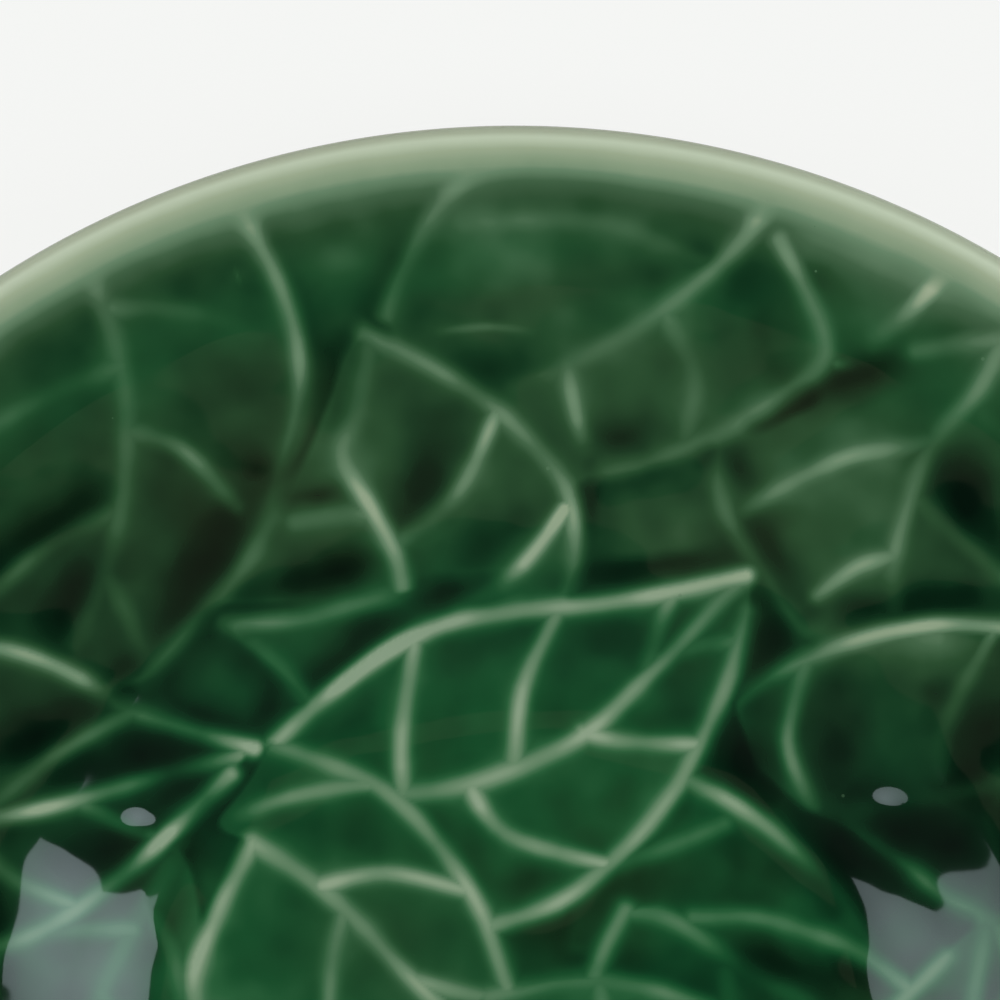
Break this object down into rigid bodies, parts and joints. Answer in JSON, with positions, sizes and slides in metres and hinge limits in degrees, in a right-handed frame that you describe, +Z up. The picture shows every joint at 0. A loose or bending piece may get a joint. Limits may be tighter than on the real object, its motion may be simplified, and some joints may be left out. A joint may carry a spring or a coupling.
{
  "type": "leaf relief plate",
  "caption": "Round earthenware plate under green glaze, with overlapping veined leaves in relief over its well and flange, a rounded pale lip and a foot ring, for serving food.",
  "frame": {"origin": "centre of the foot ring, on the face that stands on the table", "axes": "+Z up, out of the face of the plate; +Y towards the edge that is at the top of the picture"},
  "size_m": [0.22, 0.22, 0.022],
  "materials": {
    "plate_glaze": "glossy transparent green glaze, pale sage where it is thin at the lip",
    "foot_glaze": "thin green glaze, wiped back to buff clay on the standing face",
    "leaf_glaze": "glossy transparent green glaze, dark where it pools and pale on the ribs"
  },
  "bodies": {
    "root": {"plate_body": "plate_glaze", "foot_ring": "foot_glaze", "broad_leaf_1": "leaf_glaze", "broad_leaf_2": "leaf_glaze", "broad_leaf_3": "leaf_glaze", "broad_leaf_4": "leaf_glaze", "curled_leaf_1": "leaf_glaze", "curled_leaf_2": "leaf_glaze", "curled_leaf_3": "leaf_glaze", "curled_leaf_4": "leaf_glaze", "rim_leaf_1": "leaf_glaze", "rim_leaf_2": "leaf_glaze", "rim_leaf_3": "leaf_glaze", "rim_leaf_4": "leaf_glaze", "stem_leaf_1": "leaf_glaze", "stem_leaf_2": "leaf_glaze", "stem_leaf_3": "leaf_glaze", "stem_leaf_4": "leaf_glaze", "fan_leaf_1": "leaf_glaze", "fan_leaf_2": "leaf_glaze", "fan_leaf_3": "leaf_glaze", "fan_leaf_4": "leaf_glaze", "well_leaf_1": "leaf_glaze", "well_leaf_2": "leaf_glaze", "heart_leaf_1": "leaf_glaze", "heart_leaf_2": "leaf_glaze", "floor_leaf_1": "leaf_glaze", "floor_leaf_2": "leaf_glaze", "tucked_leaf_1": "leaf_glaze", "tucked_leaf_2": "leaf_glaze", "side_leaf_1": "leaf_glaze", "side_leaf_2": "leaf_glaze", "long_leaf_1": "leaf_glaze", "long_leaf_2": "leaf_glaze", "tip_leaf_1": "leaf_glaze", "tip_leaf_2": "leaf_glaze", "cross_leaf_1": "leaf_glaze", "cross_leaf_2": "leaf_glaze"}
  },
  "joints": []
}
